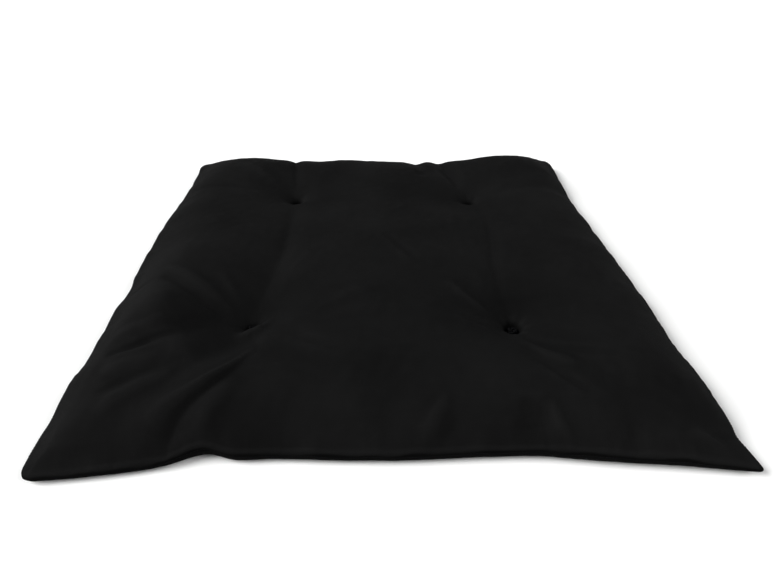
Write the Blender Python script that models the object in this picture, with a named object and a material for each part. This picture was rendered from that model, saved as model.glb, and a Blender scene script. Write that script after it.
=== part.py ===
"""A tufted floor mat (zabuton): a flat cotton case filled with soft batting, drawn down by four tied tufts.

Metres, +Z up. The mat lies flat with its front edge at -Y, and the origin is the middle of its underside.
"""

import math
from functools import lru_cache

import bmesh
import bpy
from mathutils import Vector

MM = 0.001

# Driving sizes of the mat, in metres
MAT_WIDE = 0.715
MAT_DEEP = 0.758
CROWN_RISE = 0.040
EDGE_ROUNDING = 0.130
SIDE_PULL_REACH = 0.090
SEAM_HOLD = 0.025
UNDERSIDE_CURL = 0.020
UNDERSIDE_BULGE = 0.0040
SMALLEST_DISTANCE = 0.000001

# The faces that each panel starts with, and how far they crowd towards the seam
CELLS_WIDE = 46
CELLS_DEEP = 50
CROWDING = 0.45

# One round of splitting for each miss in metres: a face that lies further off its surface is split.
# Faces this close to a tuft are split in every round.
MISS_LIMITS = (0.0011, 0.0012, 0.0030)
FINE_RADIUS = 0.013

# A tuft draws the filling into a wide bowl with a small pit at its foot, and dimples the underside
PIT_RADIUS = 0.0085
PIT_REACH = 0.007
UNDERSIDE_DIMPLE_RADIUS = 0.034
UNDERSIDE_DIMPLE_RISE = 0.005

# The tuft's knot of thick thread: three lobes laid round a small ring
KNOT_RING = 0.0034
KNOT_LOBE = 0.0017
KNOT_LIFT = 0.0014
KNOT_THREAD = 0.00135
KNOT_POINTS = 36
CLEARANCE = 0.0003
WELD_DISTANCE = 0.00002
SEAM_ANGLE = math.radians(60)

COTTON_COLOUR = (0.0095, 0.0095, 0.0100, 1.0)
THREAD_COLOUR = (0.0060, 0.0060, 0.0065, 1.0)

# Corner tips: place across and place along, in millimetres
CORNER_TIPS = {
    ("left", "front"): (-346.0, -376.0),
    ("right", "front"): (365.0, -380.0),
    ("left", "back"): (-365.0, 380.0),
    ("right", "back"): (353.0, 380.0),
}

# The seam round the mat. Columns: share along the side from -1 to 1, how far the filling draws the
# seam in from a straight side, and how high the seam rides off the floor, both in millimetres.
SEAM = {
    "front": (
        (-1.00, 0.0, 8.0),
        (-0.80, 7.0, 7.0),
        (-0.63, 14.0, 8.0),
        (-0.52, 25.0, 14.0),
        (-0.43, 20.0, 9.0),
        (-0.33, 20.5, 9.0),
        (-0.20, 18.5, 9.0),
        (0.02, 17.0, 10.0),
        (0.25, 19.5, 11.0),
        (0.41, 18.0, 12.0),
        (0.58, 12.0, 13.0),
        (0.80, 5.5, 12.0),
        (1.00, 0.0, 9.0),
    ),
    "back": (
        (-1.00, 0.0, 10.0),
        (-0.75, 6.0, 13.0),
        (-0.40, 13.0, 14.0),
        (-0.10, 15.0, 13.0),
        (0.20, 15.0, 12.0),
        (0.42, 16.0, 11.0),
        (0.60, 11.0, 14.0),
        (0.85, 4.0, 13.0),
        (1.00, 0.0, 10.0),
    ),
    "left": (
        (-1.00, 0.0, 8.0),
        (-0.80, 4.0, 15.0),
        (-0.69, 4.0, 18.0),
        (-0.60, 8.0, 18.0),
        (-0.46, 7.5, 19.0),
        (-0.32, 6.5, 19.0),
        (-0.21, 9.0, 18.0),
        (-0.12, 5.0, 19.0),
        (0.05, 2.5, 18.0),
        (0.28, 1.0, 17.0),
        (0.50, 4.0, 15.0),
        (0.75, 5.0, 13.0),
        (1.00, 0.0, 10.0),
    ),
    "right": (
        (-1.00, 0.0, 9.0),
        (-0.85, 4.0, 13.0),
        (-0.70, 4.5, 15.0),
        (-0.53, 9.0, 15.0),
        (-0.38, 5.0, 14.0),
        (-0.08, 6.0, 14.0),
        (0.12, 8.0, 14.0),
        (0.30, 9.0, 14.0),
        (0.44, 12.0, 14.0),
        (0.60, 8.0, 13.0),
        (0.85, 3.0, 12.0),
        (1.00, 0.0, 10.0),
    ),
}

# Tufts. Columns: place across, place along, height of the pit's floor and reach of the bowl, in
# millimetres, and the share of the depth that the bowl has. The pit has the rest.
TUFTS = {
    "tuft_front_left": (-161.0, -164.0, 13.0, 60.0, 0.80),
    "tuft_front_right": (161.0, -180.0, 24.0, 40.0, 0.62),
    "tuft_back_left": (-146.0, 174.0, 18.0, 50.0, 0.72),
    "tuft_back_right": (150.0, 168.0, 21.0, 46.0, 0.66),
}

# Where the filling lies thick or thin: place across, place along, reach, rise, in millimetres
LUMPS = (
    (-292.0, -62.0, 95.0, 9.0),
    (-261.0, -282.0, 80.0, 5.0),
    (9.0, -12.0, 130.0, 4.0),
    (39.0, -282.0, 110.0, -3.0),
    (264.0, -52.0, 100.0, 3.0),
    (259.0, 284.0, 80.0, 7.0),
    (-251.0, 288.0, 90.0, 4.0),
    (69.0, 288.0, 80.0, -5.0),
)

# How much wider a fold gets from its middle to its end, and the share of it that fades out at each end
FOLD_OPENING = 0.3
FOLD_FADE = 0.22

# Folds in the top panel. Columns: start across and along, end across and along, sideways bow,
# half width, and height, which is below zero in a valley. All in millimetres.
FOLDS = (
    # Between the tufts
    (-159.0, -162.0, -143.0, 174.0, -6.0, 15.0, -12.0),
    (159.0, -176.0, 151.0, 168.0, 12.0, 16.0, -9.0),
    (-156.0, -168.0, 159.0, -182.0, 0.0, 26.0, -6.0),
    (-141.0, 174.0, 149.0, 168.0, 4.0, 22.0, -7.0),
    (149.0, -186.0, 19.0, 8.0, -6.0, 12.0, -4.0),
    # The fan at the front left tuft, from the front edge round to the left side
    (-159.0, -242.0, -163.0, -370.0, 4.0, 14.0, -12.0),
    (-169.0, -262.0, -195.0, -368.0, -6.0, 13.0, 9.0),
    (-163.0, -216.0, -210.0, -366.0, -8.0, 13.0, -10.0),
    (-171.0, -206.0, -227.0, -344.0, -8.0, 14.0, 10.0),
    (-174.0, -204.0, -229.0, -280.0, -4.0, 13.0, -8.0),
    (-186.0, -216.0, -273.0, -300.0, -4.0, 16.0, 8.0),
    (-206.0, -204.0, -336.0, -254.0, -8.0, 16.0, -9.0),
    (-216.0, -182.0, -311.0, -214.0, 0.0, 16.0, 7.0),
    (-186.0, -172.0, -333.0, -100.0, -10.0, 15.0, -10.0),
    (-179.0, -152.0, -286.0, -64.0, -4.0, 17.0, 9.0),
    # The shallow fan at the front right tuft
    (169.0, -194.0, 264.0, -244.0, -6.0, 13.0, -6.0),
    (175.0, -220.0, 221.0, -258.0, 0.0, 13.0, 4.0),
    (174.0, -172.0, 345.0, -142.0, 6.0, 18.0, -5.0),
    # Puckers along the front edge
    (69.0, -276.0, 37.0, -384.0, 4.0, 16.0, -6.0),
    (131.0, -282.0, 151.0, -384.0, 0.0, 17.0, -6.0),
    (221.0, -302.0, 233.0, -384.0, 0.0, 17.0, -5.0),
    # The fan at the back right tuft
    (147.0, 176.0, 113.0, 358.0, 6.0, 15.0, -10.0),
    (105.0, 234.0, 63.0, 354.0, 4.0, 16.0, -6.0),
    (159.0, 168.0, 344.0, 198.0, -6.0, 18.0, -7.0),
    # The fan at the back left tuft
    (-148.0, 180.0, -169.0, 360.0, -6.0, 15.0, -10.0),
    (-154.0, 172.0, -329.0, 214.0, 6.0, 16.0, -9.0),
    (-156.0, 188.0, -253.0, 270.0, 0.0, 17.0, 6.0),
)


def clear_scene():
    """Removes what the file opens with."""
    for old in list(bpy.data.objects):
        bpy.data.objects.remove(old)


def surface(name, colour, roughness):
    """A plain Principled material."""
    material = bpy.data.materials.new(name)
    material.use_nodes = True
    shader = material.node_tree.nodes["Principled BSDF"]
    shader.inputs["Base Color"].default_value = colour
    shader.inputs["Roughness"].default_value = roughness
    shader.inputs["Metallic"].default_value = 0.0
    return material


def seam_at(side, along):
    """(inset, height) in metres at a share along one side: a smooth curve through that side's rows."""
    rows = SEAM[side]
    last = len(rows) - 1
    span = next((i for i in range(last) if along <= rows[i + 1][0]), last - 1)
    here, there = rows[span], rows[span + 1]
    before, after = rows[max(span - 1, 0)], rows[min(span + 2, last)]
    width = there[0] - here[0]
    t = min(max((along - here[0]) / width, 0.0), 1.0)
    found = []
    for column in (1, 2):
        slope_here = (there[column] - before[column]) / (there[0] - before[0]) * width
        slope_there = (after[column] - here[column]) / (after[0] - here[0]) * width
        value = (
            (2 * t**3 - 3 * t**2 + 1) * here[column]
            + (t**3 - 2 * t**2 + t) * slope_here
            + (3 * t**2 - 2 * t**3) * there[column]
            + (t**3 - t**2) * slope_there
        )
        found.append(value * MM)
    return found


def side_distances(u, v):
    """Metres from each side to the panel point (u, v), whose parts run from -1 to 1."""
    return {
        "left": (1 + u) * MAT_WIDE / 2,
        "right": (1 - u) * MAT_WIDE / 2,
        "front": (1 + v) * MAT_DEEP / 2,
        "back": (1 - v) * MAT_DEEP / 2,
    }


def plan_point(u, v, seams, distances):
    """(x, y) of the panel point (u, v): between the corner tips, drawn in where the seam is."""
    x = y = 0.0
    for (across, along), (tip_x, tip_y) in CORNER_TIPS.items():
        share_u = (1 + u) / 2 if across == "right" else (1 - u) / 2
        share_v = (1 + v) / 2 if along == "back" else (1 - v) / 2
        x += tip_x * MM * share_u * share_v
        y += tip_y * MM * share_u * share_v
    pull = {side: seams[side][0] * math.exp(-distances[side] / SIDE_PULL_REACH) for side in SEAM}
    return x + pull["left"] - pull["right"], y + pull["front"] - pull["back"]


def seam_height(seams, distances):
    """The seam's height, carried inwards: the nearer a side is, the more it counts."""
    weights = {side: 1 / (distances[side] + SMALLEST_DISTANCE) ** 2 for side in SEAM}
    return sum(seams[side][1] * weights[side] for side in SEAM) / sum(weights.values())


def edge_rise(distance):
    """From 0 at the seam to 1 where the filling has its full thickness."""
    return 1 - (1 - min(distance / EDGE_ROUNDING, 1.0)) ** 3


def smooth(share):
    """A share clamped to 0 to 1 and eased at both ends."""
    share = min(max(share, 0.0), 1.0)
    return share * share * (3 - 2 * share)


def fold_height(x, y):
    """The sum of the folds at a place on the top panel, in metres."""
    total = 0.0
    for start_x, start_y, end_x, end_y, bow, half_width, height in FOLDS:
        start = Vector((start_x, start_y)) * MM
        line = Vector((end_x, end_y)) * MM - start
        from_start = Vector((x, y)) - start
        along = from_start.dot(line) / line.length_squared
        if not 0 < along < 1:
            continue
        sideways = (line.x * from_start.y - line.y * from_start.x) / line.length
        sideways -= bow * MM * math.sin(math.pi * along)
        spread = half_width * MM * (1 + FOLD_OPENING * (2 * along - 1))
        fade = smooth(along / FOLD_FADE) * smooth((1 - along) / FOLD_FADE)
        total += height * MM * fade * math.exp(-((sideways / spread) ** 2))
    return total


def lump_height(x, y):
    """How much thicker or thinner the filling lies here, in metres."""
    return sum(
        rise * MM * math.exp(-((x - at_x * MM) ** 2 + (y - at_y * MM) ** 2) / (reach * MM) ** 2)
        for at_x, at_y, reach, rise in LUMPS
    )


def drawn_to_tufts(x, y, height, hold):
    """The height once each tuft has pulled the panel down to its floor, as far as the seam lets it."""
    for at_x, at_y, floor, reach, share in TUFTS.values():
        past_pit = max(math.hypot(x - at_x * MM, y - at_y * MM) - PIT_RADIUS, 0.0)
        bowl = share * math.exp(-past_pit / (reach * MM))
        pit = (1 - share) * math.exp(-past_pit / PIT_REACH)
        height += (floor * MM - height) * (bowl + pit) * hold
    return height


@lru_cache(maxsize=None)
def top_point(u, v):
    """The top panel's point (u, v) in space."""
    distances = side_distances(u, v)
    seams = {side: seam_at(side, v if side in ("left", "right") else u) for side in SEAM}
    x, y = plan_point(u, v, seams, distances)
    rise = math.prod(edge_rise(distance) for distance in distances.values())
    hold = min(min(distances.values()) / SEAM_HOLD, 1.0)
    soft = (CROWN_RISE + lump_height(x, y)) * rise + fold_height(x, y) * hold
    return Vector((x, y, drawn_to_tufts(x, y, seam_height(seams, distances) + soft, hold)))


@lru_cache(maxsize=None)
def bottom_point(u, v):
    """The bottom panel's point (u, v): flat on the floor, curled up to the seam at its rim."""
    distances = side_distances(u, v)
    seams = {side: seam_at(side, v if side in ("left", "right") else u) for side in SEAM}
    x, y = plan_point(u, v, seams, distances)
    nearest = min(distances.values())
    share = min(nearest / UNDERSIDE_CURL, 1.0)
    bulge = {
        side: UNDERSIDE_BULGE * share * math.sin(math.pi * min(distances[side] / UNDERSIDE_CURL, 1.0))
        for side in SEAM
    }
    x += bulge["right"] - bulge["left"]
    y += bulge["back"] - bulge["front"]
    height = seam_height(seams, distances) * (1 - share) ** 2
    for at_x, at_y, *_ in TUFTS.values():
        out = math.hypot(x - at_x * MM, y - at_y * MM) / UNDERSIDE_DIMPLE_RADIUS
        height += UNDERSIDE_DIMPLE_RISE * (1 - min(out, 1.0) ** 2) ** 2
    return Vector((x, y, height))


def crowded(share):
    """A share from -1 to 1, moved towards the nearer end so that faces are finer at the seam."""
    return (1 - CROWDING) * share + CROWDING * math.sin(share * math.pi / 2)


def near_tuft(spot):
    """Whether a place lies in or beside a tuft's pit."""
    ways = [math.hypot(spot.x - at_x * MM, spot.y - at_y * MM) for at_x, at_y, *_ in TUFTS.values()]
    return min(ways) < FINE_RADIUS


def split_rough_faces(mesh, others, place, limit):
    """Splits a panel's faces that miss its surface, but no edge on the seam, where the panels meet."""
    rough = set()
    for face in mesh.faces:
        if face in others:
            continue
        centre = face.calc_center_median()
        target = place(centre.x, centre.y)
        corners = [place(point.co.x, point.co.y) for point in face.verts]
        flat_centre = sum(corners, Vector()) / len(corners)
        if (target - flat_centre).length > limit or near_tuft(target):
            rough.update(edge for edge in face.edges if not edge.is_boundary)
    bmesh.ops.subdivide_edges(mesh, edges=list(rough), cuts=1, use_grid_fill=True)


def crease_squares(mesh, others, place):
    """Folds each four-cornered face along the diagonal that lies nearer to the panel's surface."""
    squares = [face for face in mesh.faces if face not in others and len(face.verts) == 4]
    for face in squares:
        centre = face.calc_center_median()
        target = place(centre.x, centre.y)
        corners = [place(point.co.x, point.co.y) for point in face.verts]
        misses = [((corners[i] + corners[i + 2]) / 2 - target).length for i in (0, 1)]
        first = misses.index(min(misses))
        bmesh.utils.face_split(face, face.verts[first], face.verts[first + 2])


def add_panel(mesh, place):
    """Adds one panel to the mesh. The function place turns a flat point (u, v) into its point in space."""
    others = set(mesh.faces)
    made = bmesh.ops.create_grid(mesh, x_segments=CELLS_WIDE, y_segments=CELLS_DEEP, size=1.0)
    for point in made["verts"]:
        point.co = Vector((crowded(point.co.x), crowded(point.co.y), 0.0))
    for limit in MISS_LIMITS:
        split_rough_faces(mesh, others, place, limit)
    crease_squares(mesh, others, place)
    panel = [face for face in mesh.faces if face not in others]
    for point in {point for face in panel for point in face.verts}:
        point.co = place(point.co.x, point.co.y)
    return panel


def build_mat(cotton):
    """The filled mat: a top and a bottom panel that meet in a knife-edge seam."""
    mesh = bmesh.new()
    add_panel(mesh, top_point)
    bmesh.ops.reverse_faces(mesh, faces=add_panel(mesh, bottom_point))
    bmesh.ops.remove_doubles(mesh, verts=mesh.verts, dist=WELD_DISTANCE)
    data = bpy.data.meshes.new("mat")
    mesh.to_mesh(data)
    mesh.free()
    data.shade_smooth()
    data.set_sharp_from_angle(angle=SEAM_ANGLE)
    data.materials.append(cotton)
    return bpy.data.objects.new("mat", data)


def build_tuft(name, place, thread):
    """One tuft's knot, resting in its pit: a thick thread laid in three lobes."""
    at_x, at_y, floor = place[:3]
    curve = bpy.data.curves.new(name, "CURVE")
    curve.dimensions = "3D"
    curve.bevel_depth = KNOT_THREAD
    curve.bevel_resolution = 1
    spline = curve.splines.new("POLY")
    spline.points.add(KNOT_POINTS - 1)
    for i, point in enumerate(spline.points):
        turn = 2 * math.pi * i / KNOT_POINTS
        out = KNOT_RING + KNOT_LOBE * math.cos(3 * turn)
        lift = KNOT_LIFT * math.sin(3 * turn)
        point.co = (out * math.cos(2 * turn), out * math.sin(2 * turn), lift, 1.0)
    spline.use_cyclic_u = True
    curve.materials.append(thread)
    knot = bpy.data.objects.new(name, curve)
    knot.location = (at_x * MM, at_y * MM, floor * MM + CLEARANCE + KNOT_LIFT + KNOT_THREAD)
    return knot


def main():
    """Builds the mat and its four tufts in one collection."""
    clear_scene()
    cotton = surface("black_cotton_canvas", COTTON_COLOUR, 0.9)
    thread = surface("black_tufting_thread", THREAD_COLOUR, 0.8)
    parts = bpy.data.collections.new("tufted_floor_mat")
    bpy.context.scene.collection.children.link(parts)
    parts.objects.link(build_mat(cotton))
    for name, place in TUFTS.items():
        parts.objects.link(build_tuft(name, place, thread))


main()
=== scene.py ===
"""The look of a tufted floor mat (zabuton): a black cotton canvas case filled with soft batting.

Metres, +Z up. The mat lies flat with its front edge at -Y, and the origin is the middle of its underside.
"""

import logging
import math
from dataclasses import dataclass
from enum import Enum
from functools import cached_property
from typing import NamedTuple

import bmesh
import bpy
import numpy as np
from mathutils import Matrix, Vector

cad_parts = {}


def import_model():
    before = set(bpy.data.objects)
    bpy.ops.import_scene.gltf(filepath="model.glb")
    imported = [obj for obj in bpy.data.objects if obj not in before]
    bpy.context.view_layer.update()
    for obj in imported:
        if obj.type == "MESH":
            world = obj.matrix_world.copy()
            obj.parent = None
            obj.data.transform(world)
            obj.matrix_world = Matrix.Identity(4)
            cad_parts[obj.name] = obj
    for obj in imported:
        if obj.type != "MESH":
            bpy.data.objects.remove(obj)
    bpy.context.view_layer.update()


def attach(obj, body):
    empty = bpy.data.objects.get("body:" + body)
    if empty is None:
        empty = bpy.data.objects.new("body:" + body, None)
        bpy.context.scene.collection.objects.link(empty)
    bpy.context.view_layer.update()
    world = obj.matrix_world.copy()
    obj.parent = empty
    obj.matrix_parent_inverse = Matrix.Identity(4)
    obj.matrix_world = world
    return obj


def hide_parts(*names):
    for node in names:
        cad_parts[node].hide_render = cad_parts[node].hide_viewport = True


LOG = logging.getLogger("zabuton")
MM = 0.001

# How fast a keen fold falls away from its line, and how far its tip is rounded, in half widths
KEEN_FALL = 1.4
KEEN_TIP = 0.2


class Side(Enum):
    """The four sides of the mat, seen from above with its front at the bottom."""

    FRONT = "front"
    BACK = "back"
    LEFT = "left"
    RIGHT = "right"


# The sides that run from front to back
UPRIGHT = (Side.LEFT, Side.RIGHT)


class Crest(Enum):
    """How a fold rises across its line."""

    SOFT = "soft"
    KEEN = "keen"

    def profile(self, out: np.ndarray) -> np.ndarray:
        """The share of a fold's height beside its line.

        Args:
            out: Distance from the line in half widths.

        Returns:
            The share of the height there.
        """
        if self is Crest.SOFT:
            return np.exp(-(out**2))
        return np.exp(-KEEN_FALL * (np.sqrt(out**2 + KEEN_TIP**2) - KEEN_TIP))


class SeamPoint(NamedTuple):
    """The seam at one share of a side: how far it is drawn in and how high it rides, in millimetres."""

    share: float
    inset: float
    height: float


class Tuft(NamedTuple):
    """A tied tuft in millimetres: its place, its pit's floor and radius, and the bowl round it.

    The share is how much of the drop to the pit's floor the bowl makes.
    """

    x: float
    y: float
    floor: float
    pit: float
    reach: float
    share: float


class Lump(NamedTuple):
    """A place where the batting lies thick or thin, in millimetres."""

    x: float
    y: float
    reach: float
    rise: float

    def at(self, x: np.ndarray, y: np.ndarray) -> np.ndarray:
        """Reads how far the lump raises the panel, in metres."""
        away = ((x - self.x * MM) ** 2 + (y - self.y * MM) ** 2) / (self.reach * MM) ** 2
        return self.rise * MM * np.exp(-away)


@dataclass(frozen=True)
class Fold:
    """A fold in the top panel, along a smooth line through its stations.

    Each station is x, y, half width and height in millimetres. The height is below zero in a valley.
    """

    crest: Crest
    stations: tuple[tuple[float, float, float, float], ...]
    steps: int = 14
    widths_felt: float = 3.5

    def line(self) -> np.ndarray:
        """Fills in the stations along a smooth line.

        Returns:
            One row of x, y, half width and height for each step, in metres.
        """
        rows = np.array(self.stations) * MM
        rows = np.vstack((2 * rows[0] - rows[1], rows, 2 * rows[-1] - rows[-2]))
        t = np.arange(self.steps)[:, None] / self.steps
        spans = [
            (2 * b + (c - a) * t + (2 * a - 5 * b + 4 * c - d) * t**2 + (3 * b - a - 3 * c + d) * t**3) / 2
            for a, b, c, d in zip(rows, rows[1:], rows[2:], rows[3:])
        ]
        return np.vstack((*spans, rows[-2]))

    def at(self, x: np.ndarray, y: np.ndarray) -> np.ndarray:
        """The fold's rise at places on the panel.

        Args:
            x: Places across.
            y: Places along.

        Returns:
            The rise in metres.
        """
        line = self.line()
        reach = self.widths_felt * line[:, 2].max()
        low, high = line[:, :2].min(axis=0) - reach, line[:, :2].max(axis=0) + reach
        near = np.flatnonzero((x > low[0]) & (x < high[0]) & (y > low[1]) & (y < high[1]))
        total = np.zeros_like(x)
        away_x, away_y = x[near, None] - line[:, 0], y[near, None] - line[:, 1]
        nearest = np.argmin(away_x**2 + away_y**2, axis=1)
        run = np.gradient(line[:, :2], axis=0)
        step = np.linalg.norm(run, axis=1)
        run /= step[:, None]
        rows = np.arange(len(near))
        off_x, off_y, way = away_x[rows, nearest], away_y[rows, nearest], run[nearest]
        at = np.clip(nearest + (off_x * way[:, 0] + off_y * way[:, 1]) / step[nearest], 0, len(line) - 1)
        sideways = way[:, 0] * off_y - way[:, 1] * off_x
        count = np.arange(len(line))
        width, height = np.interp(at, count, line[:, 2]), np.interp(at, count, line[:, 3])
        total[near] = height * self.crest.profile(sideways / np.maximum(width, MM))
        return total


CORNER_TIPS = {
    (Side.LEFT, Side.FRONT): (-346.0, -376.0),
    (Side.RIGHT, Side.FRONT): (365.0, -380.0),
    (Side.LEFT, Side.BACK): (-365.0, 380.0),
    (Side.RIGHT, Side.BACK): (353.0, 380.0),
}

CORNER_ROUNDING = {
    (Side.LEFT, Side.FRONT): 16.0,
    (Side.RIGHT, Side.FRONT): 5.0,
    (Side.LEFT, Side.BACK): 22.0,
    (Side.RIGHT, Side.BACK): 32.0,
}

SEAM = {
    Side.FRONT: (
        SeamPoint(-1.00, 0.0, 8.0), SeamPoint(-0.80, 7.0, 7.0), SeamPoint(-0.63, 17.0, 8.0),
        SeamPoint(-0.52, 30.0, 14.0), SeamPoint(-0.43, 23.0, 9.5), SeamPoint(-0.33, 24.5, 9.5),
        SeamPoint(-0.20, 22.0, 9.5), SeamPoint(0.02, 20.0, 10.0), SeamPoint(0.25, 22.5, 11.5),
        SeamPoint(0.41, 22.5, 12.5), SeamPoint(0.58, 15.0, 13.0), SeamPoint(0.80, 8.0, 12.0),
        SeamPoint(1.00, 0.0, 9.0),
    ),
    Side.BACK: (
        SeamPoint(-1.00, 0.0, 15.0), SeamPoint(-0.75, 6.0, 15.0), SeamPoint(-0.40, 13.0, 14.0),
        SeamPoint(-0.10, 15.0, 13.0), SeamPoint(0.20, 15.0, 12.0), SeamPoint(0.42, 16.0, 11.0),
        SeamPoint(0.60, 11.0, 14.0), SeamPoint(0.85, 4.0, 17.0), SeamPoint(1.00, 0.0, 18.0),
    ),
    Side.LEFT: (
        SeamPoint(-1.00, 0.0, 8.0), SeamPoint(-0.80, 4.0, 15.0), SeamPoint(-0.69, 4.0, 18.0),
        SeamPoint(-0.60, 8.0, 18.0), SeamPoint(-0.46, 7.5, 19.0), SeamPoint(-0.32, 6.5, 19.0),
        SeamPoint(-0.21, 9.0, 18.0), SeamPoint(-0.12, 5.0, 19.0), SeamPoint(0.05, 2.5, 18.0),
        SeamPoint(0.28, 1.0, 17.0), SeamPoint(0.50, 4.0, 15.0), SeamPoint(0.75, 5.0, 14.0),
        SeamPoint(1.00, 0.0, 15.0),
    ),
    Side.RIGHT: (
        SeamPoint(-1.00, 0.0, 9.0), SeamPoint(-0.94, 4.0, 11.0), SeamPoint(-0.90, 7.5, 12.0),
        SeamPoint(-0.86, 5.5, 13.0), SeamPoint(-0.70, 4.5, 15.0), SeamPoint(-0.53, 9.0, 15.0),
        SeamPoint(-0.38, 5.0, 14.0), SeamPoint(-0.08, 6.0, 14.0), SeamPoint(0.12, 8.0, 14.0),
        SeamPoint(0.30, 9.0, 14.0), SeamPoint(0.44, 12.0, 14.0), SeamPoint(0.60, 8.0, 13.0),
        SeamPoint(0.85, 3.0, 15.0), SeamPoint(1.00, 0.0, 18.0),
    ),
}

TUFTS = {
    "tuft_front_left": Tuft(-161.0, -164.0, 13.0, 6.8, 70.0, 0.93),
    "tuft_front_right": Tuft(160.0, -184.0, 21.0, 8.0, 50.0, 0.72),
    "tuft_back_left": Tuft(-146.0, 172.0, 15.0, 7.0, 50.0, 0.70),
    "tuft_back_right": Tuft(155.0, 163.0, 15.0, 6.8, 44.0, 0.72),
}

LUMPS = (
    Lump(-352.0, -75.0, 62.0, -13.0),
    Lump(-354.0, 30.0, 70.0, -13.0),
    Lump(-284.0, -66.0, 80.0, 6.5),
    Lump(-305.0, 75.0, 80.0, -4.0),
    Lump(-268.0, -166.0, 50.0, 12.0),
    Lump(-261.0, -290.0, 80.0, 5.0),
    Lump(9.0, -12.0, 130.0, 4.0),
    Lump(39.0, -282.0, 110.0, -3.0),
    Lump(264.0, -52.0, 100.0, 3.0),
    Lump(259.0, 284.0, 80.0, 7.0),
    Lump(-251.0, 288.0, 90.0, 4.0),
    Lump(69.0, 288.0, 80.0, -5.0),
)

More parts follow.
